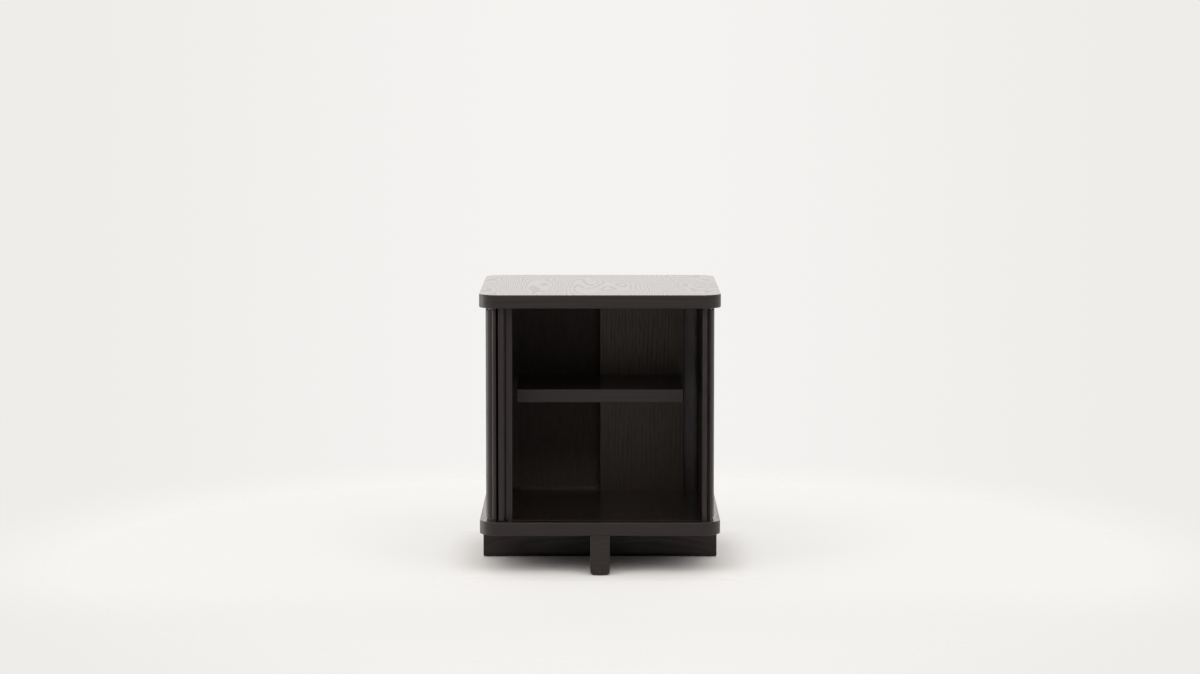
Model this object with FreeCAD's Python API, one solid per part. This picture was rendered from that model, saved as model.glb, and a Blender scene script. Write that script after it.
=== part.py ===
import FreeCAD, Part
import math
import os
from FreeCAD import Vector as V

# Storage side table with a tambour door. Millimetres. +Z is up, the front faces -Y and the origin is on the floor,
# in the middle of the footprint.

# ---- driving dimensions ------------------------------------------------------------------------------------------
WIDTH = 457.2  # both boards, 18 in, square in plan
BOARD_T = 25.4  # top and base board
BOARD_R = 38.0  # plan corner radius of the boards
ARRIS = 1.6  # rounded edges of the boards
BEAM_H = 76.2  # cross base, floor to underside of the base board
BEAM_W = 37.0
BEAM_L = 456.4
BEAM_R = 7.0  # rounded lower edges of the beams
GLIDE_OUT = 1.0  # how far the glides stand out of the beams
BODY_H = 406.4  # clear height between the boards, 16 in
OVERHANG = 12.0  # boards past the reeded shell
SHELL_R = 26.0  # shell's plan corner radius, concentric with the boards' corners
SHELL_T = 10.5  # shell thickness at a rib's crown
RIB_S = 3.6  # depth of the valleys between ribs
RIBS_SIDE = 28  # ribs on each straight side
RIBS_CORNER = 3  # at the two back corners
REVEAL = 5.0  # shadow line above and below the ribs
CORE_IN = 4.4  # how far the shadow line is set in
# valleys of the front posts: degrees round from straight ahead, and depth; the first one is the post's end
VALLEYS_RIGHT = [(35.0, 3.2), (90.0, RIB_S)]
VALLEYS_LEFT = [(13.7, 2.8), (35.0, 3.2), (90.0, RIB_S)]
MOUTH_X = 208.5  # the right post is trimmed here, and a gap parts it from the closing jamb
JAMB_X0, JAMB_X1 = 193.3, 203.6  # front edge of the closing jamb
SHELF_W = 322.0
SHELF_T = 25.4
SHELF_TOP = 338.4
SHELF_FRONT = 141.0  # behind the boards' front edge
PANEL_W = 168.0  # inner back panel, from the middle to the right
PANEL_T = 16.0
PANEL_FRONT = 391.0
LINER_X = 194.8  # inner face of the right wall's lining
TRACK_IN = 28.8  # door track's centre line, in from the boards' edges
TRACK_R = 36.8  # door track's corners, on the centre line
TRACK_W = 10.5
TRACK_GAP = 7.6
TRACK_H = 8.0
SLAT_T = 9.0
SLAT_RIB = 3.6  # depth of the valleys between the slats' crowns
SLATS = 24  # slats on the straight run beside the left wall
SLATS_TURN = 2  # slats on the bend behind the left front post
SLATS_TURN_BACK = 4  # slats on the bend at the left back corner
SLATS_BACK = 13  # slats on the run across the back, to just behind the inner back panel
CANVAS_T = 0.8
STILE_X0, STILE_X1 = -192.3, -181.5  # leading stile of the door, open
LIP_X1 = -165.6  # its finger lip
STILE_FRONT = 12.5
LIP_FRONT = 26.0
DOOR_BACK = 34.0
DOOR_TRAVEL = 358.0
CLEAR = 0.8  # door ends to the boards

H = WIDTH / 2
Z0 = BEAM_H  # base board
Z1 = Z0 + BOARD_T  # cabinet floor
Z2 = Z1 + BODY_H  # underside of the top board
Z3 = Z2 + BOARD_T
OUT = H - OVERHANG  # shell's outer face, at the crowns
IN = OUT - SHELL_T
VALLEY = OUT - RIB_S
CC = OUT - SHELL_R  # centre of each corner's curves
TRACK = H - TRACK_IN
TC = TRACK - TRACK_R
SLAT_OUT = TRACK + 4.8  # crown of the parked slats
SLAT_IN = SLAT_OUT - SLAT_T


def depth(d):
    return -H + d


def box(x0, x1, y0, y1, z0, z1):
    return Part.makeBox(x1 - x0, y1 - y0, z1 - z0, V(x0, y0, z0))


def rod(x, y, z0, z1, r):
    return Part.makeCylinder(r, z1 - z0, V(x, y, z0), V(0, 0, 1))


def prism(edges, z0, z1):
    face = Part.Face(Part.Wire(edges))
    solid = face.extrude(V(0, 0, z1 - z0))
    solid.translate(V(0, 0, z0))
    return solid


def line(a, b):
    return Part.LineSegment(V(a[0], a[1], 0), V(b[0], b[1], 0)).toShape()


def arc(a, m, b):
    return Part.Arc(V(a[0], a[1], 0), V(m[0], m[1], 0), V(b[0], b[1], 0)).toShape()


def rounded(w, d, r, z0, z1):
    solid = box(-w / 2, w / 2, -d / 2, d / 2, z0, z1)
    upright = [e for e in solid.Edges if abs(e.Vertexes[0].Z - e.Vertexes[-1].Z) > 1]
    return solid.makeFillet(r, upright)


def one(shape):
    shape = shape.removeSplitter()
    return shape.Solids[0] if len(shape.Solids) == 1 else shape


def group(solids):
    return Part.makeCompound(solids)


def cut(shape, tools):
    return shape.cut(Part.makeCompound(tools)) if tools else shape


def polar(r, deg, turn):
    # a point of the corner curve: deg from straight out of the front face towards the side face
    x, y = CC + r * math.sin(math.radians(deg)), -CC - r * math.cos(math.radians(deg))
    return {"fr": (x, y), "fl": (-x, y), "br": (x, -y), "bl": (-x, -y)}[turn]


# ---- door track's plan --------------------------------------------------------------------------------------------
def track_band(w, z0, z1, x_end, x_tail):
    # from x_end on the front run, round the left front bend, along the left side, round the back bend to x_tail
    t, c, r = TRACK, TC, TRACK_R
    o, i = w / 2, -w / 2
    s = math.sqrt(0.5)

    def corner(off, sy, back):
        a = (-c, sy * (t + off))
        m = (-c - (r + off) * s, sy * (c + (r + off) * s))
        b = (-(t + off), sy * c)
        return arc(b, m, a) if back else arc(a, m, b)

    edges = [
        line((x_end, -(t + o)), (-c, -(t + o))),
        corner(o, -1, False),
        line((-(t + o), -c), (-(t + o), c)),
        corner(o, 1, True),
        line((-c, t + o), (x_tail, t + o)),
        line((x_tail, t + o), (x_tail, t + i)),
        line((x_tail, t + i), (-c, t + i)),
        corner(i, 1, False),
        line((-(t + i), c), (-(t + i), -c)),
        corner(i, -1, True),
        line((-c, -(t + i)), (x_end, -(t + i))),
        line((x_end, -(t + i)), (x_end, -(t + o))),
    ]
    return prism(Part.__sortEdges__(edges), z0, z1)


TRACK_END, TRACK_TAIL = 191.5, 20.0


def track(z_open, z_shut):
    # a U channel open at z_open
    up = z_open > z_shut
    z0, z1 = min(z_open, z_shut), max(z_open, z_shut)
    outer = track_band(TRACK_W, z0, z1, TRACK_END, TRACK_TAIL)
    web = 1.5
    inner = track_band(
        TRACK_GAP,
        z0 + web if up else z0 - 1,
        z1 + 1 if up else z1 - web,
        TRACK_END - 1.4,
        TRACK_TAIL - 1.4,
    )
    return one(outer.cut(inner))


# ---- dowels and bolts ---------------------------------------------------------------------------------------------
WALL_D = (IN + OUT - CORE_IN) / 2  # middle of the shell's neck
CORNER_D = CC + (WALL_D - CC) * math.sqrt(0.5)
FRONT_D = (209.0, 194.5)
shell_dowel_at = (
    [(sx * WALL_D, y) for sx in (-1, 1) for y in (-150, -50, 50, 150)]
    + [(x, WALL_D) for x in (-150, -50, 50, 150)]
    + [(sx * CORNER_D, CORNER_D) for sx in (-1, 1)]
    + [(sx * FRONT_D[0], -FRONT_D[1]) for sx in (-1, 1)]
)
DOWEL_R = 2.0
bottom_dowels = [rod(x, y, Z1 - 10, Z1 + 12, DOWEL_R) for x, y in shell_dowel_at]
top_dowels = [rod(x, y, Z2 - 12, Z2 + 10, DOWEL_R) for x, y in shell_dowel_at]
HOLE = 0.05
shell_holes = [rod(x, y, Z1 - 10.5, Z1 + 12.5, DOWEL_R + HOLE) for x, y in shell_dowel_at]
shell_holes += [rod(x, y, Z2 - 12.5, Z2 + 10.5, DOWEL_R + HOLE) for x, y in shell_dowel_at]

panel_y = depth(PANEL_FRONT) + PANEL_T / 2
panel_dowel_at = [(30, panel_y), (84, panel_y), (138, panel_y)]
panel_dowels = [rod(x, y, Z1 - 12, Z1 + 15, 3.0) for x, y in panel_dowel_at]
panel_dowels += [rod(x, y, Z2 - 15, Z2 + 12, 3.0) for x, y in panel_dowel_at]
panel_holes = [rod(x, y, Z1 - 12.5, Z1 + 15.5, 3.0 + HOLE) for x, y in panel_dowel_at]
panel_holes += [rod(x, y, Z2 - 15.5, Z2 + 12.5, 3.0 + HOLE) for x, y in panel_dowel_at]

liner_dowel_at = [(198.4, -201.0)] + [((IN + LINER_X) / 2, y) for y in (-150, -50, 50, 150)]
liner_dowels = [rod(x, y, Z1 - 10, Z1 + 12, 2.5) for x, y in liner_dowel_at]
liner_dowels += [rod(x, y, Z2 - 12, Z2 + 10, 2.5) for x, y in liner_dowel_at]
liner_holes = [rod(x, y, Z1 - 10.5, Z1 + 12.5, 2.5 + HOLE) for x, y in liner_dowel_at]
liner_holes += [rod(x, y, Z2 - 12.5, Z2 + 10.5, 2.5 + HOLE) for x, y in liner_dowel_at]

bolt_at = [(0, -165), (0, 165), (-165, 0), (165, 0), (0, 0)]
BOLT_SEAT = 34.0
INSERT_H = 14.0


def bolt(x, y):
    head = rod(x, y, BOLT_SEAT - 4.0, BOLT_SEAT, 6.0)
    socket = Part.makePolygon(
        [
            V(x + 2.9 * math.cos(math.radians(60 * k)), y + 2.9 * math.sin(math.radians(60 * k)), BOLT_SEAT - 4.0)
            for k in range(7)
        ]
    )
    socket = Part.Face(socket).extrude(V(0, 0, 2.2))
    return one(head.fuse(rod(x, y, BOLT_SEAT, Z0 + INSERT_H - 1, 3.0)).cut(socket))


def insert(x, y):
    body = rod(x, y, Z0, Z0 + INSERT_H, 5.0).cut(rod(x, y, Z0 - 1, Z0 + INSERT_H + 1, 3.05))
    rings = [
        rod(x, y, Z0 + z, Z0 + z + 1.0, 6.0).cut(rod(x, y, Z0 + z - 1, Z0 + z + 2, 5.3)) for z in (2, 4.5, 7, 9.5)
    ]
    return one(body.cut(Part.makeCompound(rings)))


bolts = [bolt(x, y) for x, y in bolt_at]
inserts = [insert(x, y) for x, y in bolt_at]
beam_bores = []
for x, y in bolt_at:
    beam_bores += [rod(x, y, -1, BOLT_SEAT, 6.6), rod(x, y, BOLT_SEAT - 1, Z0 + 1, 3.3)]
board_bores = [rod(x, y, Z0 - 1, Z0 + INSERT_H + 0.5, 5.05) for x, y in bolt_at]

# ---- shelf fixings ------------------------------------------------------------------------------------------------
SHELF_Z = SHELF_TOP - SHELF_T / 2
PF = depth(PANEL_FRONT)


def along_y(x, z, y0, y1, r):
    return Part.makeCylinder(r, y1 - y0, V(x, y0, z), V(0, 1, 0))


shelf_dowel_at = [20.0, 84.0, 148.0]
shelf_dowels = [along_y(x, SHELF_Z, PF - 30, PF + 10, 4.0) for x in shelf_dowel_at]
shelf_dowel_holes = [along_y(x, SHELF_Z, PF - 30.5, PF + 10.5, 4.0 + HOLE) for x in shelf_dowel_at]
shelf_screw_at = [52.0, 116.0]


def shelf_screw(x):
    y1 = PF + PANEL_T
    head = Part.makeCone(1.9, 4.0, 3.0, V(x, y1 - 3.4, SHELF_Z), V(0, 1, 0))
    return one(head.fuse(along_y(x, SHELF_Z, y1 - 60, y1 - 3.4, 1.9)).fuse(along_y(x, SHELF_Z, y1 - 0.4, y1 - 0.2, 4.0)))


shelf_screws = [shelf_screw(x) for x in shelf_screw_at]
shelf_screw_holes = []
for x in shelf_screw_at:
    y1 = PF + PANEL_T
    shelf_screw_holes += [
        along_y(x, SHELF_Z, y1 - 60.5, y1 - 3.0, 1.95),
        Part.makeCone(1.95, 4.3, 3.4, V(x, y1 - 3.4, SHELF_Z), V(0, 1, 0)),
    ]

# ---- boards -------------------------------------------------------------------------------------------------------
groove_low = track_band(TRACK_W + 0.1, Z1 - TRACK_H - 0.05, Z1 + 1, TRACK_END + 0.05, TRACK_TAIL + 0.05)
groove_high = track_band(TRACK_W + 0.1, Z2 - 1, Z2 + TRACK_H + 0.05, TRACK_END + 0.05, TRACK_TAIL + 0.05)


def board(z0):
    solid = rounded(WIDTH, WIDTH, BOARD_R, z0, z0 + BOARD_T)
    rims = [
        e
        for e in solid.Edges
        if all(abs(v.Z - z0) < 1e-6 for v in e.Vertexes) or all(abs(v.Z - z0 - BOARD_T) < 1e-6 for v in e.Vertexes)
    ]
    return solid.makeFillet(ARRIS, rims)


top_board = one(cut(board(Z2), [groove_high] + shell_holes + panel_holes + liner_holes))
base_board = one(cut(board(Z0), [groove_low] + shell_holes + panel_holes + liner_holes + board_bores))

# ---- cross base ---------------------------------------------------------------------------------------------------
LAP = (GLIDE_OUT + BEAM_H) / 2


def beam():
    solid = box(-BEAM_W / 2, BEAM_W / 2, -BEAM_L / 2, BEAM_L / 2, GLIDE_OUT, BEAM_H)
    low = [
        e
        for e in solid.Edges
        if all(abs(v.Z - GLIDE_OUT) < 1e-6 for v in e.Vertexes) and abs(e.Vertexes[0].Y - e.Vertexes[1].Y) > 1
    ]
    solid = solid.makeFillet(BEAM_R, low)
    ends = [e for e in solid.Edges if all(abs(abs(v.Y) - BEAM_L / 2) < 1e-6 for v in e.Vertexes)]
    ends = [e for e in ends if not all(abs(v.Z - BEAM_H) < 1e-6 for v in e.Vertexes)]
    return solid.makeFillet(1.5, ends)


glide_at = [(0, -215), (0, 215), (-215, 0), (215, 0)]
glides = [
    one(rod(x, y, 0, GLIDE_OUT + 2.5, 9.0).fuse(rod(x, y, GLIDE_OUT + 2.5, GLIDE_OUT + 14, 2.0))) for x, y in glide_at
]
glide_bores = []
for x, y in glide_at:
    glide_bores += [
        rod(x, y, -1, GLIDE_OUT + 2.5, 9.0 + HOLE),
        rod(x, y, GLIDE_OUT, GLIDE_OUT + 14.5, 2.0 + HOLE),
    ]
lap = 0.1
beam_fb = beam().cut(box(-BEAM_W, BEAM_W, -BEAM_W / 2 - lap, BEAM_W / 2 + lap, LAP, BEAM_H + 1))
beam_lr = beam()
beam_lr.rotate(V(0, 0, 0), V(0, 0, 1), 90)
beam_lr = beam_lr.cut(box(-BEAM_W / 2 - lap, BEAM_W / 2 + lap, -BEAM_W, BEAM_W, -1, LAP))
base_beam_front_back = one(cut(beam_fb, beam_bores + glide_bores))
base_beam_left_right = one(cut(beam_lr, beam_bores + glide_bores))


# ---- reeded shell -------------------------------------------------------------------------------------------------
def ribs(at, n):
    # n convex ribs through valley, crown, valley points given by at(k) with k in half ribs
    return [arc(at(2 * k), at(2 * k + 1), at(2 * k + 2)) for k in range(n)]


def straight(place):
    # one straight side of the shell; place turns (along, out) into the plan
    step = 2 * CC / RIBS_SIDE / 2

    def at(k):
        return place(-CC + k * step, OUT if k % 2 else VALLEY)

    edges = ribs(at, RIBS_SIDE) + [
        line(place(CC, VALLEY), place(CC, IN)),
        line(place(CC, IN), place(-CC, IN)),
        line(place(-CC, IN), place(-CC, VALLEY)),
    ]
    face = prism(Part.__sortEdges__(edges), Z1 + REVEAL, Z2 - REVEAL)
    a, b = place(-CC, IN), place(CC, OUT - CORE_IN)
    core = box(min(a[0], b[0]), max(a[0], b[0]), min(a[1], b[1]), max(a[1], b[1]), Z1, Z2)
    return one(cut(face.fuse(core), shell_holes))


side_panel_left = straight(lambda s, o: (-o, s))
side_panel_right = straight(lambda s, o: (o, s))
back_panel = straight(lambda s, o: (s, o))


def back_post(turn):
    step = 90.0 / RIBS_CORNER / 2

    def at(k):
        return polar(SHELL_R if k % 2 else SHELL_R - RIB_S, k * step, turn)

    inner, core = SHELL_R - SHELL_T, SHELL_R - CORE_IN

    def ring(outline, r, z0, z1):
        edges = outline + [
            line(polar(r, 90, turn), polar(inner, 90, turn)),
            arc(polar(inner, 90, turn), polar(inner, 45, turn), polar(inner, 0, turn)),
            line(polar(inner, 0, turn), polar(r, 0, turn)),
        ]
        return prism(Part.__sortEdges__(edges), z0, z1)

    face = ring(ribs(at, RIBS_CORNER), SHELL_R - RIB_S, Z1 + REVEAL, Z2 - REVEAL)
    neck = ring([arc(polar(core, 0, turn), polar(core, 45, turn), polar(core, 90, turn))], core, Z1, Z2)
    return one(cut(face.fuse(neck), shell_holes))


POCKET_R = 8.5  # the front posts' inner corner


def front_post(turn, valleys, trim=None):
    sx = -1 if turn == "fl" else 1
    n = len(valleys) - 1

    def at(k):
        a, d = valleys[k // 2]
        if k % 2 == 0:
            return polar(SHELL_R - d, a, turn)
        return polar(SHELL_R, (a + valleys[k // 2 + 1][0]) / 2, turn)

    def ring(outline, first, last, z0, z1):
        end = abs(first[0])
        p = IN - POCKET_R
        s = math.sqrt(0.5)
        edges = outline + [
            line(last, (sx * IN, -CC)),
            line((sx * IN, -CC), (sx * IN, -p)),
            arc((sx * IN, -p), (sx * (p + POCKET_R * s), -(p + POCKET_R * s)), (sx * p, -IN)),
            line((sx * p, -IN), (sx * end, -IN)),
            line((sx * end, -IN), first),
        ]
        return prism(Part.__sortEdges__(edges), z0, z1)

    core = SHELL_R - CORE_IN
    face = ring(ribs(at, n), at(0), at(2 * n), Z1 + REVEAL, Z2 - REVEAL)
    # the neck starts a little further round, so that the shadow line also shows at the jamb
    first = polar(core, valleys[0][0] + 3, turn)
    last = polar(core, 90, turn)
    neck = ring([arc(first, polar(core, 60, turn), last)], first, last, Z1, Z2)
    post = face.fuse(neck)
    if trim:
        post = post.cut(box(0, trim, -H, -199.0, Z1 - 1, Z2 + 1))
    return one(cut(post, shell_holes))


corner_post_back_left = back_post("bl")
corner_post_back_right = back_post("br")
corner_post_front_left = front_post("fl", VALLEYS_LEFT)
corner_post_front_right = front_post("fr", VALLEYS_RIGHT, MOUTH_X)

# the right wall is lined; the lining's front edge is the jamb that the door closes against
jamb_front = -206.4
jamb_edges = [
    line((LINER_X, CC), (LINER_X, -CC)),
    line((LINER_X, -CC), (JAMB_X0, -CC)),
    line((JAMB_X0, -CC), (JAMB_X0, -210.3)),
    line((JAMB_X0, -210.3), (JAMB_X0 + 0.9, -211.2)),
    arc((JAMB_X0 + 0.9, -211.2), (199.4, -210.3), (JAMB_X1, jamb_front)),
    line((JAMB_X1, jamb_front), (JAMB_X1, -CC)),
    line((JAMB_X1, -CC), (IN, -CC)),
    line((IN, -CC), (IN, CC)),
    line((IN, CC), (LINER_X, CC)),
]
jamb_panel = prism(Part.__sortEdges__(jamb_edges), Z1, Z2)
closing_jamb_panel = one(cut(jamb_panel, liner_holes))

# ---- shelf and inner back -----------------------------------------------------------------------------------------
shelf = box(-SHELF_W / 2, SHELF_W / 2, depth(SHELF_FRONT), PF, SHELF_TOP - SHELF_T, SHELF_TOP)
shelf = shelf.makeFillet(
    1.2, [e for e in shelf.Edges if not all(abs(v.Y - PF) < 1e-6 for v in e.Vertexes)]
)
shelf = one(cut(shelf, shelf_dowel_holes + shelf_screw_holes))
inner = box(0, PANEL_W, PF, PF + PANEL_T, Z1, Z2)
inner = inner.makeFillet(
    0.8,
    [
        e
        for e in inner.Edges
        if abs(e.Vertexes[0].Z - e.Vertexes[1].Z) > 1
    ],
)
inner_back_panel = one(cut(inner, panel_holes + shelf_dowel_holes + shelf_screw_holes))

strip = box(-TC, 12.0, TRACK - TRACK_W / 2 - 3.4, TRACK - TRACK_W / 2 - 0.4, Z1, Z1 + 7.0)
rear_guide_strip = one(
    strip.makeFillet(
        1.0,
        [e for e in strip.Edges if all(abs(v.Z - Z1 - 7.0) < 1e-6 for v in e.Vertexes) and abs(e.Vertexes[0].X - e.Vertexes[1].X) > 1],
    )
)

# ---- tracks -------------------------------------------------------------------------------------------------------
bottom_track = track(Z1, Z1 - TRACK_H)
top_track = track(Z2, Z2 + TRACK_H)

# ---- parked curtain -----------------------------------------------------------------------------------------------
SZ0, SZ1 = Z1 + 1.0, Z2 - 1.0


def slat(width, gap):
    # crown towards -X, its back face at X = 0, centred on Y = 0
    w = width / 2 - gap
    edges = [
        line((0, -w), (-SLAT_T + SLAT_RIB, -w)),
        arc((-SLAT_T + SLAT_RIB, -w), (-SLAT_T, 0), (-SLAT_T + SLAT_RIB, w)),
        line((-SLAT_T + SLAT_RIB, w), (0, w)),
        line((0, w), (0, -w)),
    ]
    blade = prism(edges, SZ0, SZ1)
    tongue = box(-6.9, -1.5, -w + 1.5, w - 1.5, Z1 - 5.5, Z2 + 5.5)
    return one(blade.fuse(tongue))


pitch = 2 * TC / SLATS
slats = []
for k in range(SLATS):
    s = slat(pitch, 0.15)
    s.translate(V(-SLAT_IN, -TC + pitch * (k + 0.5), 0))
    slats.append(s)
back_r = SLAT_IN - TC  # radius of the slats' back faces on the bend
turn_deg = 20.5
for k in range(SLATS_TURN):
    s = slat(2 * back_r * math.tan(math.radians(turn_deg / 2)) - 0.1, 0.1)
    s.translate(V(-back_r, 0, 0))
    s.rotate(V(0, 0, 0), V(0, 0, 1), turn_deg * (k + 0.5))
    s.translate(V(-TC, -TC, 0))
    slats.append(s)
turn_back = 90.0 / SLATS_TURN_BACK
for k in range(SLATS_TURN_BACK):
    s = slat(2 * back_r * math.tan(math.radians(turn_back / 2)) - 0.1, 0.1)
    s.translate(V(-back_r, 0, 0))
    s.rotate(V(0, 0, 0), V(0, 0, 1), -turn_back * (k + 0.5))
    s.translate(V(-TC, TC, 0))
    slats.append(s)
for k in range(SLATS_BACK):
    s = slat(pitch, 0.15)
    s.rotate(V(0, 0, 0), V(0, 0, 1), -90)
    s.translate(V(-TC + pitch * (k + 0.5), SLAT_IN, 0))
    slats.append(s)
tambour_slats = group(slats)
tail = -TC + pitch * SLATS_BACK - 0.15

bend = math.radians(turn_deg * SLATS_TURN)
ro, ri = back_r - 0.02, back_r - 0.02 - CANVAS_T


def on_bend(r, a):
    return (-TC - r * math.cos(a), -TC - r * math.sin(a))


def on_back(r, a):
    return (-TC - r * math.cos(a), TC + r * math.sin(a))


q = math.pi / 2
canvas_edges = [
    line((tail, TC + ro), (-TC, TC + ro)),
    arc(on_back(ro, q), on_back(ro, q / 2), on_back(ro, 0)),
    line((-TC - ro, TC), (-TC - ro, -TC)),
    arc(on_bend(ro, 0), on_bend(ro, bend / 2), on_bend(ro, bend)),
    line(on_bend(ro, bend), on_bend(ri, bend)),
    arc(on_bend(ri, bend), on_bend(ri, bend / 2), on_bend(ri, 0)),
    line((-TC - ri, -TC), (-TC - ri, TC)),
    arc(on_back(ri, 0), on_back(ri, q / 2), on_back(ri, q)),
    line((-TC, TC + ri), (tail, TC + ri)),
    line((tail, TC + ri), (tail, TC + ro)),
]
tambour_canvas = one(prism(Part.__sortEdges__(canvas_edges), SZ0 + 4, SZ1 - 4))

# ---- door's leading stile -----------------------------------------------------------------------------------------
DZ0, DZ1 = Z1 + CLEAR, Z2 - CLEAR
stile = box(STILE_X0, STILE_X1, depth(STILE_FRONT), depth(DOOR_BACK), DZ0, DZ1)
stile = stile.makeFillet(
    1.2,
    [
        e
        for e in stile.Edges
        if abs(e.Vertexes[0].Z - e.Vertexes[1].Z) > 1 and abs(e.Vertexes[0].Y - depth(STILE_FRONT)) < 1e-6
    ],
)
PIN_X = -171.0
PIN_R = 2.2
tongue_w = 3.0
# the lip is tongued into the stile's side
tongue = box(STILE_X1 - tongue_w, STILE_X1, depth(LIP_FRONT + 2.5), depth(DOOR_BACK - 2.5), DZ0, DZ1)
door_stile = one(stile.cut(box(STILE_X1 - tongue_w - 0.05, STILE_X1 + 1, depth(LIP_FRONT + 2.45), depth(DOOR_BACK - 2.45), DZ0 - 1, DZ1 + 1)))
lip = box(STILE_X1, LIP_X1, depth(LIP_FRONT), depth(DOOR_BACK), DZ0, DZ1)
lip = lip.makeFillet(
    3.4,
    [
        e
        for e in lip.Edges
        if abs(e.Vertexes[0].Z - e.Vertexes[1].Z) > 1
        and abs(e.Vertexes[0].X - LIP_X1) < 1e-6
        and abs(e.Vertexes[0].Y - depth(LIP_FRONT)) < 1e-6
    ],
)
# a shallow quirk between the stile and the lip gives the fingers their hold
quirk = Part.makeCylinder(2.0, DZ1 - DZ0 + 2, V(STILE_X1 + 1.4, depth(LIP_FRONT), DZ0 - 1), V(0, 0, 1))
door_pull_lip = one(lip.fuse(tongue).cut(quirk.common(box(STILE_X1, 0, -H, 0, DZ0 - 1, DZ1 + 1))))
pin_y = -TRACK
pins = [rod(PIN_X, pin_y, Z1 - 5.5, Z1 + 20, PIN_R), rod(PIN_X, pin_y, Z2 - 20, Z2 + 5.5, PIN_R)]
pin_holes = [rod(PIN_X, pin_y, Z1 - 6, Z1 + 20.5, PIN_R + HOLE), rod(PIN_X, pin_y, Z2 - 20.5, Z2 + 6, PIN_R + HOLE)]
door_pull_lip = one(cut(door_pull_lip, pin_holes))
door_guide_pins = group(pins)
# a batten screwed to the stile's back clamps the canvas's leading hem
clamp = box(STILE_X0 + 1.5, STILE_X1 - 1.5, depth(DOOR_BACK), depth(DOOR_BACK + 3.0), DZ0 + 6, DZ1 - 6)
clamp_x = (STILE_X0 + STILE_X1) / 2
screw_z = [Z1 + 30 + k * (BODY_H - 60) / 4 for k in range(5)]


def clamp_screw(z):
    y1 = depth(DOOR_BACK + 3.0)
    shank = Part.makeCylinder(1.2, 11.0, V(clamp_x, y1 - 11.0, z), V(0, 1, 0))
    head = Part.makeCone(1.2, 2.6, 1.5, V(clamp_x, y1 - 1.5, z), V(0, 1, 0))
    return one(shank.fuse(head))


clamp_screws = [clamp_screw(z) for z in screw_z]
clamp_holes = []
for z in screw_z:
    y1 = depth(DOOR_BACK + 3.0)
    clamp_holes += [
        Part.makeCylinder(1.2 + HOLE, 11.5, V(clamp_x, y1 - 11.5, z), V(0, 1, 0)),
        Part.makeCone(1.2 + HOLE, 2.6 + HOLE, 1.5, V(clamp_x, y1 - 1.5, z), V(0, 1, 0)),
    ]
door_stile = one(cut(door_stile, clamp_holes))
canvas_clamp_batten = one(cut(clamp, clamp_holes))

# the stretch of curtain that shows at the front, gathered behind the left front post while the door is open
curtain_front_span = box(-200.8, STILE_X0 - 0.3, -SLAT_OUT, -SLAT_IN + CANVAS_T, SZ0, SZ1)

parts = {
    "top_board": top_board,
    "base_board": base_board,
    "base_beam_front_back": base_beam_front_back,
    "base_beam_left_right": base_beam_left_right,
    "floor_glides": group(glides),
    "base_bolts": group(bolts),
    "threaded_inserts": group(inserts),
    "side_panel_left": side_panel_left,
    "side_panel_right": side_panel_right,
    "back_panel": back_panel,
    "corner_post_front_left": corner_post_front_left,
    "corner_post_front_right": corner_post_front_right,
    "corner_post_back_left": corner_post_back_left,
    "corner_post_back_right": corner_post_back_right,
    "closing_jamb_panel": closing_jamb_panel,
    "inner_back_panel": inner_back_panel,
    "shelf": shelf,
    "shelf_dowels": group(shelf_dowels),
    "shelf_screws": group(shelf_screws),
    "inner_panel_dowels": group(panel_dowels),
    "jamb_panel_dowels": group(liner_dowels),
    "shell_dowels_bottom": group(bottom_dowels),
    "shell_dowels_top": group(top_dowels),
    "rear_guide_strip": rear_guide_strip,
    "bottom_track": bottom_track,
    "top_track": top_track,
    "tambour_slats": tambour_slats,
    "tambour_canvas": tambour_canvas,
    "curtain_front_span": curtain_front_span,
    "door_stile": door_stile,
    "door_pull_lip": door_pull_lip,
    "door_guide_pins": door_guide_pins,
    "canvas_clamp_batten": canvas_clamp_batten,
    "batten_screws": group(clamp_screws),
}

os.makedirs("parts", exist_ok=True)
for name, shape in parts.items():
    bad = "" if shape.isValid() else "  NOT VALID"
    print(f"{name:26s} solids {len(shape.Solids):3d}  volume {shape.Volume / 1000:9.2f} cm3{bad}")
    shape.exportStep("parts/" + name + ".step")
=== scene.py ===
import math

import bpy
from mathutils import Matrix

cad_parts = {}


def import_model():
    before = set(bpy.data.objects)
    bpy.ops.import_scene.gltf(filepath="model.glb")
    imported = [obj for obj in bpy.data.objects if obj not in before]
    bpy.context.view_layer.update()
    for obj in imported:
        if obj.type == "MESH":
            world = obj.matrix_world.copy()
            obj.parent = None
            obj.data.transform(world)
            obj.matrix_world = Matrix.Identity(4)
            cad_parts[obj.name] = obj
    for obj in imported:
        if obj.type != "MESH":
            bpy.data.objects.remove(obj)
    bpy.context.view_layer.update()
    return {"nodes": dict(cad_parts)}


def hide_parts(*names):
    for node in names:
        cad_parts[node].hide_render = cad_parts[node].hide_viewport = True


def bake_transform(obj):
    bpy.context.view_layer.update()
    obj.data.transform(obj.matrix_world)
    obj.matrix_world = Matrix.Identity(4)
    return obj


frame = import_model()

nodes = frame["nodes"]
scene = bpy.context.scene
scene.view_settings.view_transform = "Standard"
scene.view_settings.look = "None"
scene.view_settings.exposure = 0.0
scene.view_settings.gamma = 1.0

H = 0.2286  # half the boards' width
SLAT_Z0, SLAT_Z1 = 0.1026, 0.5070


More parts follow.
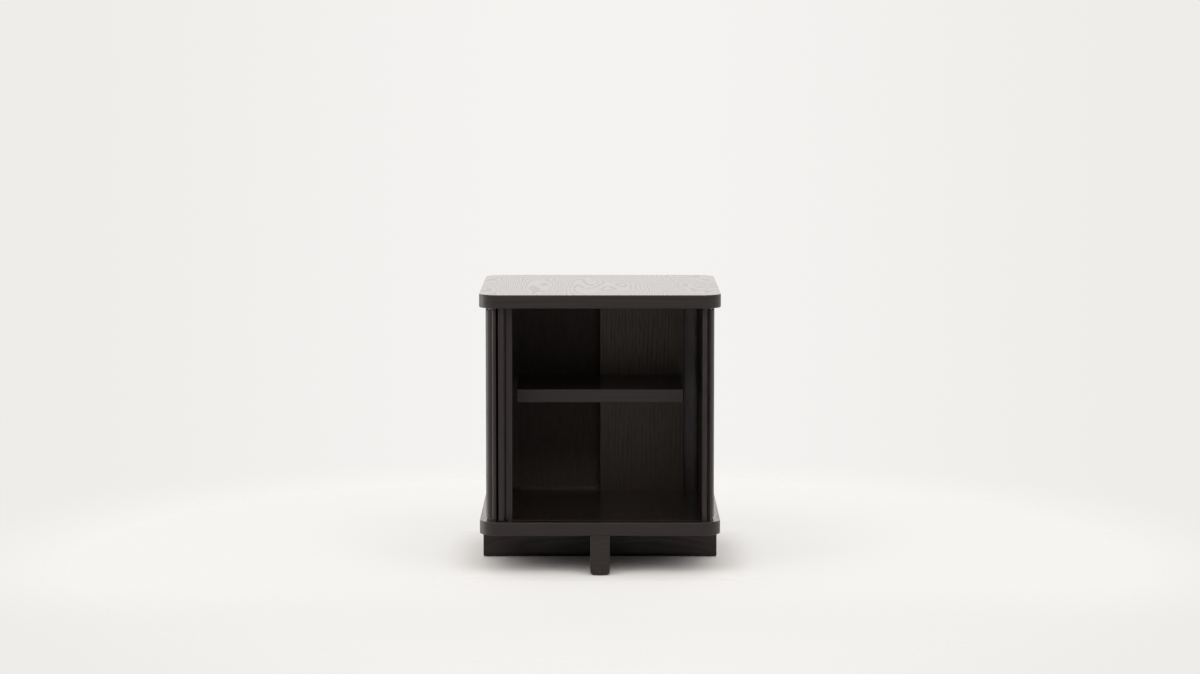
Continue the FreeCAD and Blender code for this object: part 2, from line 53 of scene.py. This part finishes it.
# ---- camera ---------------------------------------------------------------------------------------------------------
cam_data = bpy.data.cameras.new("Camera")
cam = bpy.data.objects.new("Camera", cam_data)
scene.collection.objects.link(cam)
scene.camera = cam
cam_data.sensor_width = 36.0
cam_data.lens = 97.97
cam_data.clip_start = 0.05
cam_data.clip_end = 200.0
cam.location = (0.0, -6.3358, 1.0865)
cam.rotation_euler = (math.radians(90.0 - 5.907), 0.0, 0.0)


# ---- node helper ----------------------------------------------------------------------------------------------------
class Graph:
    """A node tree being written: each call adds a node and gives back its output."""

    def __init__(self, tree):
        self.tree = tree
        self.tree.nodes.clear()

    def put(self, socket, value):
        if isinstance(value, bpy.types.NodeSocket):
            self.tree.links.new(value, socket)
        elif value is not None:
            socket.default_value = value

    def new(self, kind, **props):
        n = self.tree.nodes.new(kind)
        for k, v in props.items():
            setattr(n, k, v)
        return n

    def m(self, op, a, b=None, c=None, clamp=False):
        n = self.new("ShaderNodeMath", operation=op, use_clamp=clamp)
        self.put(n.inputs[0], a)
        self.put(n.inputs[1], b)
        self.put(n.inputs[2], c)
        return n.outputs[0]

    def add(self, a, b):
        return self.m("ADD", a, b)

    def mul(self, a, b):
        return self.m("MULTIPLY", a, b)

    def sub(self, a, b):
        return self.m("SUBTRACT", a, b)

    def place(self):
        n = self.new("ShaderNodeTexCoord")
        s = self.new("ShaderNodeSeparateXYZ")
        self.put(s.inputs[0], n.outputs["Object"])
        return s.outputs[0], s.outputs[1], s.outputs[2]

    def facing(self):
        n = self.new("ShaderNodeTexCoord")
        s = self.new("ShaderNodeSeparateXYZ")
        self.put(s.inputs[0], n.outputs["Normal"])
        return s.outputs[0], s.outputs[1], s.outputs[2]

    def vec(self, x, y, z):
        n = self.new("ShaderNodeCombineXYZ")
        for i, v in enumerate((x, y, z)):
            self.put(n.inputs[i], v)
        return n.outputs[0]

    def noise(self, vector, scale=1.0, detail=2.0, rough=0.5, distort=0.0):
        n = self.new("ShaderNodeTexNoise", noise_dimensions="3D")
        self.put(n.inputs["Vector"], vector)
        n.inputs["Scale"].default_value = scale
        n.inputs["Detail"].default_value = detail
        n.inputs["Roughness"].default_value = rough
        n.inputs["Distortion"].default_value = distort
        return n.outputs["Fac"]

    def step(self, value, a, b, lo=0.0, hi=1.0):
        n = self.new("ShaderNodeMapRange", interpolation_type="SMOOTHSTEP")
        self.put(n.inputs["Value"], value)
        self.put(n.inputs["From Min"], a)
        self.put(n.inputs["From Max"], b)
        self.put(n.inputs["To Min"], lo)
        self.put(n.inputs["To Max"], hi)
        return n.outputs["Result"]

    def line(self, value, a, b, lo, hi):
        n = self.new("ShaderNodeMapRange", interpolation_type="LINEAR")
        n.clamp = True
        self.put(n.inputs["Value"], value)
        self.put(n.inputs["From Min"], a)
        self.put(n.inputs["From Max"], b)
        self.put(n.inputs["To Min"], lo)
        self.put(n.inputs["To Max"], hi)
        return n.outputs["Result"]

    def mix(self, fac, a, b):
        """a number between a and b"""
        n = self.new("ShaderNodeMix", data_type="FLOAT")
        self.put(n.inputs[0], fac)
        self.put(n.inputs[2], a)
        self.put(n.inputs[3], b)
        return n.outputs[0]

    def blend(self, fac, a, b):
        """a colour between a and b"""
        n = self.new("ShaderNodeMix", data_type="RGBA")
        self.put(n.inputs[0], fac)
        self.put(n.inputs[6], a if isinstance(a, bpy.types.NodeSocket) else (*a, 1.0))
        self.put(n.inputs[7], b if isinstance(b, bpy.types.NodeSocket) else (*b, 1.0))
        return n.outputs[2]

    def bump(self, height, distance, strength=1.0, normal=None):
        n = self.new("ShaderNodeBump")
        self.put(n.inputs["Height"], height)
        n.inputs["Distance"].default_value = distance
        n.inputs["Strength"].default_value = strength
        if normal is not None:
            self.put(n.inputs["Normal"], normal)
        return n.outputs["Normal"]

    def edge(self, radius):
        """1 on a convex or concave edge and 0 on the flat"""
        n = self.new("ShaderNodeBevel", samples=4)
        n.inputs["Radius"].default_value = radius
        g = self.new("ShaderNodeNewGeometry")
        d = self.new("ShaderNodeVectorMath", operation="DOT_PRODUCT")
        self.put(d.inputs[0], n.outputs[0])
        self.put(d.inputs[1], g.outputs["Normal"])
        return self.step(self.sub(1.0, d.outputs["Value"]), 0.01, 0.16)


class Shade(Graph):
    def __init__(self, name):
        self.mat = bpy.data.materials.new(name)
        self.mat.use_nodes = True
        super().__init__(self.mat.node_tree)
        self.out = self.new("ShaderNodeOutputMaterial")
        self.bsdf = self.new("ShaderNodeBsdfPrincipled")
        self.put(self.out.inputs[0], self.bsdf.outputs[0])

    def set(self, name, value):
        self.put(self.bsdf.inputs[name], value)


# ---- stained open-grain wood ------------------------------------------------------------------------------------------
def wood(name, along, across, through, seed=0.0, rings=95.0, wander=2.4, figure=1.0, grain=1.0,
         dark=(0.0062, 0.0044, 0.0038), light=(0.0150, 0.0106, 0.0090), rough=(0.34, 0.48), relief=1.0,
         coat=0.0, edging=False, wear=0.30, tint=(1.0, 0.925, 0.93), streaky=260.0, painted_lit_strip=None,
         ior=1.42):
    """along, across and through name the axes of a board's length, width and thickness.
    rings is how many growth rings cross a metre, wander how far they stray into cathedrals."""
    s = Shade(name)
    xyz = dict(zip("XYZ", s.place()))
    a, b, c = xyz[along], xyz[across], xyz[through]
    a, b = s.add(a, seed * 1.37), s.add(b, seed * 0.61)

    # growth rings: straight lines that a slow noise, drawn out along the grain, turns into cathedrals
    slow = s.noise(s.vec(s.mul(a, 2.1), s.mul(b, 9.0), s.mul(c, 9.0)), 1.0, 1.0, 0.4)
    mid = s.noise(s.vec(s.mul(a, 7.0), s.mul(b, 30.0), s.mul(c, 30.0)), 1.0, 2.0, 0.5)
    wobble = s.noise(s.vec(s.mul(a, 30.0), s.mul(b, 160.0), s.mul(c, 160.0)), 1.0, 2.0, 0.5)
    phase = s.add(s.mul(s.add(b, s.mul(c, 0.8)), rings * 0.45), s.mul(s.sub(slow, 0.5), rings * 0.105 * wander))
    phase = s.add(phase, s.mul(s.sub(mid, 0.5), 1.3))
    phase = s.add(phase, s.mul(s.sub(wobble, 0.5), 0.5))
    ring = s.m("FRACT", phase)
    early = s.mul(s.step(ring, 0.0, 0.10), s.step(ring, 0.55, 0.28))  # the open, porous part of each ring
    late = s.step(ring, 0.62, 0.95)

    # pores: short strokes along the grain, close together in the early wood
    pore_n = s.noise(s.vec(s.mul(a, 34.0), s.mul(b, 900.0), s.mul(c, 900.0)), 1.0, 1.0, 0.5)
    pore = s.step(pore_n, s.mix(early, 0.66, 0.52), s.mix(early, 0.74, 0.62))
    streak = s.noise(s.vec(s.mul(a, 5.0), s.mul(b, streaky), s.mul(c, streaky)), 1.0, 3.0, 0.6)
    cloud = s.noise(s.vec(s.mul(a, 3.0), s.mul(b, 6.0), s.mul(c, 6.0)), 1.0, 2.0, 0.5)

    if edging:  # a board's four edges carry a band whose grain runs level round the board
        x, y, z = xyz["X"], xyz["Y"], xyz["Z"]
        band_streak = s.noise(s.vec(s.mul(x, 4.0), s.mul(y, 4.0), s.mul(z, 420.0)), 1.0, 3.0, 0.6)
        band_streak = s.line(band_streak, 0.36, 0.64, 0.0, 1.0)
        band_pore = s.noise(s.vec(s.mul(x, 34.0), s.mul(y, 34.0), s.mul(z, 1000.0)), 1.0, 1.0, 0.5)
        band_slow = s.noise(s.vec(s.mul(x, 2.0), s.mul(y, 2.0), s.mul(z, 40.0)), 1.0, 1.0, 0.5)
        band_ring = s.m("FRACT", s.add(s.mul(z, 120.0), s.mul(band_slow, 4.0)))
        band_early = s.mul(s.step(band_ring, 0.0, 0.15), s.step(band_ring, 0.6, 0.3))
        fx, fy, fz = s.facing()
        flat = s.step(s.m("ABSOLUTE", fz), 0.55, 0.80)
        early = s.mix(flat, s.mul(band_early, 0.6), early)
        late = s.mul(late, flat)
        pore = s.mix(flat, s.step(band_pore, 0.60, 0.70), pore)
        streak = s.mix(flat, band_streak, streak)

    # colour: dark stain, deeper in the pores and the early wood, with streaks and slow clouds
    tone = s.line(streak, 0.25, 0.75, 0.0, 1.0)
    tone = s.add(s.mul(tone, 0.55 * grain), s.mul(late, 0.42 * figure))
    tone = s.sub(tone, s.mul(early, 0.30 * figure))
    tone = s.add(tone, s.mul(s.sub(cloud, 0.5), 0.5))
    tone = s.add(tone, 0.22)
    tone = s.m("MULTIPLY", tone, s.sub(1.0, s.mul(pore, 0.75)), clamp=True)
    colour = s.blend(tone, dark, light)
    if wear:
        rub = s.noise(s.vec(s.mul(xyz["X"], 45.0), s.mul(xyz["Y"], 45.0), s.mul(xyz["Z"], 45.0)), 1.0, 3.0, 0.6)
        worn = s.mul(s.edge(0.0011), s.step(rub, 0.46, 0.66))
        colour = s.blend(s.mul(worn, wear), colour, (0.045, 0.032, 0.025))

    if painted_lit_strip:  # a strip of the inward face, painted paler: painted light standing in for the light that brightens the back's right corner
        axis, lo, hi, by = painted_lit_strip
        at = xyz[axis]
        lit_strip_mask = s.mul(s.step(at, lo - 0.001, lo), s.step(at, hi + 0.001, hi))
        lit_strip_mask = s.mul(lit_strip_mask, s.step(s.facing()[1], -0.5, -0.8))
        painted_lit_colour = s.new("ShaderNodeVectorMath", operation="SCALE")
        s.put(painted_lit_colour.inputs[0], colour)
        painted_lit_colour.inputs["Scale"].default_value = by
        colour = s.blend(lit_strip_mask, colour, painted_lit_colour.outputs[0])

    # gloss: satin lacquer, duller in the pores and the early wood
    r = s.add(s.mul(early, 0.35 * figure), s.mul(pore, 0.45))
    r = s.add(r, s.mul(s.sub(streak, 0.5), 0.5 * grain))
    r = s.add(r, s.mul(s.sub(cloud, 0.5), 0.25))
    r = s.m("ADD", r, 0.18, clamp=True)
    s.set("Base Color", colour)
    s.set("Roughness", s.mix(r, rough[0], rough[1]))
    s.set("IOR", ior)
    s.set("Specular IOR Level", 0.5)
    s.set("Specular Tint", (*tint, 1.0))
    if painted_lit_strip:  # that strip is also lacquered more fully
        s.set("Coat Weight", s.mul(lit_strip_mask, 0.45))
        s.set("Coat Roughness", 0.30)
        s.set("Coat IOR", 1.6)
    if coat:  # a fuller lacquer on the upward faces, thinner over the open rings
        up = s.step(s.facing()[2], 0.55, 0.80)
        thin = s.sub(coat, s.mul(s.add(s.mul(early, 0.55), s.mul(pore, 0.45)), 0.20))
        s.set("Coat Weight", s.mul(thin, up))
        s.set("Coat Roughness", 0.12)
        s.set("Coat Tint", (1.0, 0.975, 0.955, 1.0))
        s.set("Coat IOR", 1.5)

    height = s.sub(0.0, s.add(s.mul(pore, 0.55), s.mul(early, 0.30)))
    height = s.add(height, s.mul(streak, 0.35 * grain))
    s.set("Normal", s.bump(height, 0.00012 * relief))
    return s.mat


# ---- other materials --------------------------------------------------------------------------------------------------
def dowel_wood():
    s = Shade("dowel_beech")
    x, y, z = s.place()
    fleck = s.noise(s.vec(s.mul(x, 900.0), s.mul(y, 900.0), s.mul(z, 60.0)), 1.0, 3.0, 0.6)
    slow = s.noise(s.vec(x, y, s.mul(z, 0.3)), 90.0, 2.0, 0.5)
    tone = s.add(s.mul(fleck, 0.7), s.mul(slow, 0.4))
    s.set("Base Color", s.blend(s.line(tone, 0.3, 0.8, 0.0, 1.0), (0.40, 0.26, 0.14), (0.66, 0.50, 0.31)))
    s.set("Roughness", s.line(fleck, 0.2, 0.8, 0.55, 0.72))
    s.set("Normal", s.bump(fleck, 0.00010))
    return s.mat


def canvas():
    s = Shade("black_canvas")
    x, y, z = s.place()
    warp = s.m("SINE", s.mul(z, 2 * math.pi / 0.0011))
    weft = s.m("SINE", s.mul(s.add(x, y), 2 * math.pi / 0.0011))
    weave = s.mul(warp, weft)
    slub = s.noise(s.vec(s.mul(x, 300.0), s.mul(y, 300.0), s.mul(z, 40.0)), 1.0, 3.0, 0.6)
    tone = s.add(s.mul(weave, 0.22), slub)
    s.set("Base Color", s.blend(s.line(tone, 0.1, 0.9, 0.0, 1.0), (0.046, 0.038, 0.034), (0.080, 0.067, 0.060)))
    s.set("Roughness", s.line(slub, 0.2, 0.8, 0.76, 0.86))
    s.set("IOR", 1.42)
    s.set("Specular IOR Level", 0.12)
    s.set("Normal", s.bump(s.add(s.mul(weave, 0.5), slub), 0.00006))
    return s.mat


def plastic(name, dark, light, rough, speckle):
    s = Shade(name)
    x, y, z = s.place()
    fine = s.noise(s.vec(x, y, z), speckle, 3.0, 0.6)
    scuff = s.noise(s.vec(s.mul(x, 30.0), s.mul(y, 30.0), s.mul(z, 260.0)), 1.0, 3.0, 0.6)
    s.set("Base Color", s.blend(s.line(scuff, 0.3, 0.7, 0.0, 1.0), dark, light))
    s.set("Roughness", s.line(s.add(s.mul(fine, 0.6), s.mul(scuff, 0.4)), 0.3, 0.7, rough[0], rough[1]))
    s.set("Specular IOR Level", 0.45)
    s.set("Normal", s.bump(fine, 0.00005))
    return s.mat


def metal(name, dark, light, rough, turn):
    s = Shade(name)
    x, y, z = s.place()
    lines = s.noise(s.vec(s.mul(x, turn[0]), s.mul(y, turn[1]), s.mul(z, turn[2])), 1.0, 3.0, 0.6)
    bloom = s.noise(s.vec(x, y, z), 420.0, 2.0, 0.5)
    tone = s.add(s.mul(lines, 0.5), s.mul(bloom, 0.5))
    s.set("Base Color", s.blend(s.line(tone, 0.3, 0.7, 0.0, 1.0), dark, light))
    s.set("Metallic", 1.0)
    s.set("Roughness", s.line(tone, 0.3, 0.7, rough[0], rough[1]))
    s.set("Normal", s.bump(lines, 0.00004))
    return s.mat


WOOD = {
    "top_board": wood("top_board_wood", "Y", "X", "Z", seed=0.37, rings=190.0, wander=1.5, edging=True, coat=1.0,
                      rough=(0.30, 0.46), relief=0.7),
    "base_board": wood("base_board_wood", "Y", "X", "Z", seed=2.1, rings=150.0, wander=2.2, edging=True, coat=0.7,
                       figure=0.6, grain=0.6),
    "base_beam_front_back": wood("beam_wood_fb", "Y", "Z", "X", seed=3.3, rings=130.0, wander=1.2),
    "base_beam_left_right": wood("beam_wood_lr", "X", "Z", "Y", seed=4.9, rings=130.0, wander=1.2),
    "side_panel_left": wood("reed_wood_left", "Z", "Y", "X", seed=5.7, rings=170.0, wander=1.0),
    "side_panel_right": wood("reed_wood_right", "Z", "Y", "X", seed=6.3, rings=170.0, wander=1.0),
    # the back's inward face carries a strip painted paler near its right corner, painted light for that lit corner
    "back_panel": wood("reed_wood_back", "Z", "X", "Y", seed=7.9, rings=170.0, wander=0.8, figure=0.5, grain=0.5,
                       painted_lit_strip=("X", 0.150, 0.200, 2.6)),
    "corner_posts": wood("reed_wood_posts", "Z", "X", "Y", seed=8.2, rings=150.0, wander=0.8, figure=0.6, grain=0.8),
    "closing_jamb_panel": wood("jamb_wood", "Z", "Y", "X", seed=9.1, rings=150.0, wander=1.0),
    "inner_back_panel": wood("panel_wood", "Z", "X", "Y", seed=10.4, rings=300.0, wander=0.25, figure=0.5, grain=2.1,
                             dark=(0.0078, 0.0054, 0.0046), light=(0.0195, 0.0136, 0.0114),
                             tint=(1.0, 0.86, 0.76), streaky=420.0, ior=1.46),
    "shelf": wood("shelf_wood", "X", "Y", "Z", seed=11.6, rings=150.0, wander=2.0, edging=True, coat=0.8),
    # the guide strip is coloured far paler than the other stained woods: a painted highlight for the bright line along
    # its top edge
    "rear_guide_strip": wood("strip_wood", "X", "Z", "Y", seed=12.2, rings=150.0, wander=1.0,
                             dark=(0.030, 0.024, 0.020), light=(0.048, 0.039, 0.033)),
    "door": wood("door_wood", "Z", "X", "Y", seed=13.5, rings=150.0, wander=0.8, figure=0.6, grain=0.8),
    "slats": wood("slat_wood", "Z", "X", "Y", seed=14.8, rings=160.0, wander=0.8, figure=0.6, grain=0.8),
    "slats_side": wood("slat_wood_side", "Z", "Y", "X", seed=15.4, rings=160.0, wander=0.8, figure=0.6, grain=0.8),
}
BEECH = dowel_wood()
CANVAS = canvas()
TRACK = plastic("track_black", (0.0075, 0.0072, 0.0070), (0.0150, 0.0145, 0.0140), (0.38, 0.55), 1500.0)
GLIDE = plastic("glide_nylon", (0.0110, 0.0105, 0.0100), (0.0220, 0.0210, 0.0200), (0.48, 0.66), 2400.0)
ZINC = metal("zinc_plate", (0.42, 0.43, 0.45), (0.66, 0.67, 0.69), (0.24, 0.42), (300.0, 300.0, 1800.0))
BRASS = metal("insert_brass", (0.50, 0.34, 0.12), (0.78, 0.58, 0.28), (0.22, 0.38), (260.0, 260.0, 2200.0))

FINISH = {
    "top_board": WOOD["top_board"], "base_board": WOOD["base_board"],
    "base_beam_front_back": WOOD["base_beam_front_back"], "base_beam_left_right": WOOD["base_beam_left_right"],
    "side_panel_left": WOOD["side_panel_left"], "side_panel_right": WOOD["side_panel_right"],
    "back_panel": WOOD["back_panel"],
    "corner_post_front_left": WOOD["corner_posts"], "corner_post_front_right": WOOD["corner_posts"],
    "corner_post_back_left": WOOD["corner_posts"], "corner_post_back_right": WOOD["corner_posts"],
    "closing_jamb_panel": WOOD["closing_jamb_panel"], "inner_back_panel": WOOD["inner_back_panel"],
    "shelf": WOOD["shelf"], "rear_guide_strip": WOOD["rear_guide_strip"],
    "door_stile": WOOD["door"], "door_pull_lip": WOOD["door"], "canvas_clamp_batten": WOOD["door"],
    "tambour_slats": WOOD["slats_side"], "curtain_front_span": WOOD["slats"], "tambour_canvas": CANVAS,
    "bottom_track": TRACK, "top_track": TRACK, "floor_glides": GLIDE,
    "base_bolts": ZINC, "shelf_screws": ZINC, "batten_screws": ZINC, "door_guide_pins": ZINC,
    "threaded_inserts": BRASS,
    "shelf_dowels": BEECH, "inner_panel_dowels": BEECH, "jamb_panel_dowels": BEECH,
    "shell_dowels_bottom": BEECH, "shell_dowels_top": BEECH,
}
for name, obj in nodes.items():
    obj.data.materials.clear()
    obj.data.materials.append(FINISH[name])


# ---- the curtain's stretch across the front ---------------------------------------------------------------------------
def piece(name, verts, faces, mats, face_mats, smooth=None):
    mesh = bpy.data.meshes.new(name)
    mesh.from_pydata(verts, [], faces)
    for m in mats:
        mesh.materials.append(m)
    for i, p in enumerate(mesh.polygons):
        p.material_index = face_mats[i]
        p.use_smooth = bool(smooth and smooth[i])
    mesh.validate()
    mesh.update()
    obj = bpy.data.objects.new(name, mesh)
    scene.collection.objects.link(obj)
    return obj


# Slats on canvas, evenly spaced once the door is closed and gathered behind the left front post while it is open. A
# point a share u along the gathered width lies at gathered * u + travel * smoothstep(u) when closed.
X0, X1 = -0.2008, -0.1926
TRAVEL = 0.358
CLOSED = (X1 - X0) + TRAVEL
Y_CROWN, Y_BACK, Y_CANVAS = -0.2046, -0.1956, -0.1948


def gathered(s):
    lo, hi = 0.0, 1.0
    for _ in range(60):
        u = (lo + hi) / 2
        if (X1 - X0) * u + TRAVEL * u * u * (3 - 2 * u) < s:
            lo = u
        else:
            hi = u
    return X0 + (X1 - X0) * (lo + hi) / 2


def curtain():
    count, gap, sag, steps = 28, 0.0006, 0.0036, 12
    pitch = CLOSED / count
    verts, faces, mats, smooth = [], [], [], []
    for i in range(count):
        a, b = i * pitch + gap / 2, (i + 1) * pitch - gap / 2
        half, mid = (b - a) / 2, (a + b) / 2
        r = (half * half + sag * sag) / (2 * sag)
        outline = []
        for k in range(steps + 1):  # the rib's crown
            t = -half + 2 * half * k / steps
            y = Y_CROWN + r - math.sqrt(max(r * r - t * t, 0.0))
            outline.append((mid + t, y))
        outline += [(b, Y_BACK), (a, Y_BACK)]
        base, n = len(verts), len(outline)
        for z in (SLAT_Z0, SLAT_Z0 + 0.1, SLAT_Z0 + 0.2, SLAT_Z0 + 0.3, SLAT_Z1):
            verts += [(gathered(s), y, z) for s, y in outline]
        for level in range(4):
            o = base + level * n
            for k in range(n):
                j = (k + 1) % n
                faces.append((o + k, o + j, o + n + j, o + n + k))
                mats.append(0)
                smooth.append(k < steps)
        faces.append(tuple(base + k for k in reversed(range(n))))
        faces.append(tuple(base + 4 * n + k for k in range(n)))
        mats += [0, 0]
        smooth += [False, False]
    # the canvas behind, one closed strip
    base = len(verts)
    columns = 112
    xs = [gathered(CLOSED * k / columns) for k in range(columns + 1)]
    z0, z1 = SLAT_Z0 + 0.004, SLAT_Z1 - 0.004
    for x in xs:
        verts += [(x, Y_BACK, z0), (x, Y_BACK, z1), (x, Y_CANVAS, z1), (x, Y_CANVAS, z0)]
    for k in range(columns):
        o = base + 4 * k
        for j in range(4):
            q = (j + 1) % 4
            faces.append((o + j, o + q, o + 4 + q, o + 4 + j))
            mats.append(1)
            smooth.append(False)
    faces.append((base, base + 3, base + 2, base + 1))
    o = base + 4 * columns
    faces.append((o, o + 1, o + 2, o + 3))
    mats += [1, 1]
    smooth += [False, False]
    obj = piece("front_curtain", verts, faces, [WOOD["slats"], CANVAS], mats, smooth)
    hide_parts("curtain_front_span")
    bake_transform(obj)
    return obj


curtain()


# ---- stage and light --------------------------------------------------------------------------------------------------
PALE = (0.890, 0.882, 0.868)
SOFTBOX, REAR_WALL, LEFT_WALL, RIGHT_WALL, FRONT_LOW, ZENITH = 2.7, 0.98, 0.95, 0.72, 0.34, 0.75


def floor():
    rings = (0.0, 0.2, 0.4, 0.6, 0.9, 1.2, 1.5, 1.8)
    around = 64
    verts, faces = [(0, 0, 0)], []
    for r in rings[1:]:
        for k in range(around):
            t = 2 * math.pi * k / around
            verts.append((r * math.cos(t), r * math.sin(t), 0.0))
    for k in range(around):
        faces.append((0, 1 + k, 1 + (k + 1) % around))
    for i in range(len(rings) - 2):
        o = 1 + i * around
        for k in range(around):
            j = (k + 1) % around
            faces.append((o + k, o + around + k, o + around + j, o + j))
    s = Shade("floor_pale")
    x, y, z = s.place()
    r = s.m("SQRT", s.add(s.mul(x, x), s.mul(y, y)))
    # painted shade: the floor's colour darkens towards the front, standing in for the light falling off there
    s.set("Base Color", s.blend(s.step(y, -0.25, -0.75), (0.830, 0.822, 0.810), (0.735, 0.729, 0.719)))
    s.set("Roughness", s.line(s.noise(s.vec(x, y, z), 7.0, 3.0, 0.5), 0.3, 0.7, 0.75, 0.85))
    s.set("Specular IOR Level", 0.15)
    clear = s.new("ShaderNodeBsdfTransparent")
    mix = s.new("ShaderNodeMixShader")
    # painted light: from 4 mm outside the footprint outward the floor turns up to 62% see-through, so the even backdrop
    # shows through and the cabinet's shadow on it is painted lighter; only the floor right at the footprint keeps its
    # full shade
    out = s.sub(s.m("MAXIMUM", s.m("ABSOLUTE", x), s.m("ABSOLUTE", y)), H)
    thin = s.mul(s.step(out, 0.004, 0.09), 0.62)
    s.put(mix.inputs[0], s.m("MAXIMUM", thin, s.step(r, 0.45, 1.45)))
    s.put(mix.inputs[1], s.bsdf.outputs[0])
    s.put(mix.inputs[2], clear.outputs[0])
    s.put(s.out.inputs[0], mix.outputs[0])
    obj = piece("studio_floor", verts, faces, [s.mat], [0] * len(faces))


floor()


def world():
    w = bpy.data.worlds.new("studio")
    scene.world = w
    w.use_nodes = True
    g = Graph(w.node_tree)
    out = g.new("ShaderNodeOutputWorld")
    bg = g.new("ShaderNodeBackground")
    g.put(out.inputs[0], bg.outputs[0])
    co = g.new("ShaderNodeTexCoord")
    sep = g.new("ShaderNodeSeparateXYZ")
    g.put(sep.inputs[0], co.outputs["Generated"])
    dx, dy, dz = sep.outputs
    # azimuth is 0 towards the front and negative to the left; both angles are in degrees
    azimuth = g.mul(g.m("ARCTAN2", dx, g.mul(dy, -1.0)), 180 / math.pi)
    height = g.mul(g.m("ARCSINE", dz), 180 / math.pi)
    turned = g.m("ABSOLUTE", azimuth)
    # the room: dim in front and to the right, bright to the left and behind, with a soft ceiling
    left = g.mul(g.step(azimuth, -34.0, -62.0), LEFT_WALL)
    right = g.mul(g.step(azimuth, 30.0, 60.0), RIGHT_WALL)
    level = g.add(g.add(left, right), g.mul(g.step(turned, 62.0, 34.0), FRONT_LOW))
    level = g.mix(g.step(azimuth, 112.0, 130.0), level, REAR_WALL)
    level = g.mix(g.step(azimuth, -112.0, -130.0), level, REAR_WALL)
    level = g.mix(g.step(height, 48.0, 68.0), level, ZENITH)
    # one wide softbox high in front, a little stronger at its left
    box = g.mul(g.step(turned, 72.0, 48.0), g.mul(g.step(height, 20.0, 28.0), g.step(height, 66.0, 54.0)))
    box = g.mul(box, g.line(azimuth, -60.0, 60.0, SOFTBOX * 1.08, SOFTBOX * 0.92))
    level = g.add(level, box)
    tint = g.blend(g.step(height, 48.0, 68.0), (1.0, 0.968, 0.945), (1.0, 0.990, 0.980))
    room = g.new("ShaderNodeVectorMath", operation="SCALE")
    g.put(room.inputs[0], tint)
    g.put(room.inputs["Scale"], level)
    # below the horizon the pale floor carries on
    low = g.mix(g.step(azimuth, -34.0, -66.0), 1.05, 1.42)
    low = g.mix(g.step(azimuth, -80.0, -106.0), low, 3.6)
    low = g.mix(g.step(azimuth, 34.0, 66.0), low, 1.25)
    low = g.mix(g.step(azimuth, 116.0, 136.0), low, 1.0)
    low = g.mix(g.step(azimuth, -124.0, -140.0), low, 1.0)
    ground = g.new("ShaderNodeVectorMath", operation="SCALE")
    ground.inputs[0].default_value = PALE
    g.put(ground.inputs["Scale"], low)
    lit = g.blend(g.step(height, -1.2, 0.0), ground.outputs[0], room.outputs[0])
    # painted shade: the backdrop seen from the camera darkens towards the left and right, standing in for the light
    # falling off there
    seen = g.blend(g.step(g.m("ABSOLUTE", dx), 0.0, 0.20), (0.902, 0.894, 0.878), (0.852, 0.844, 0.822))
    path = g.new("ShaderNodeLightPath")
    g.put(bg.inputs["Color"], g.blend(path.outputs["Is Camera Ray"], lit, seen))
    bg.inputs["Strength"].default_value = 1.0


world()
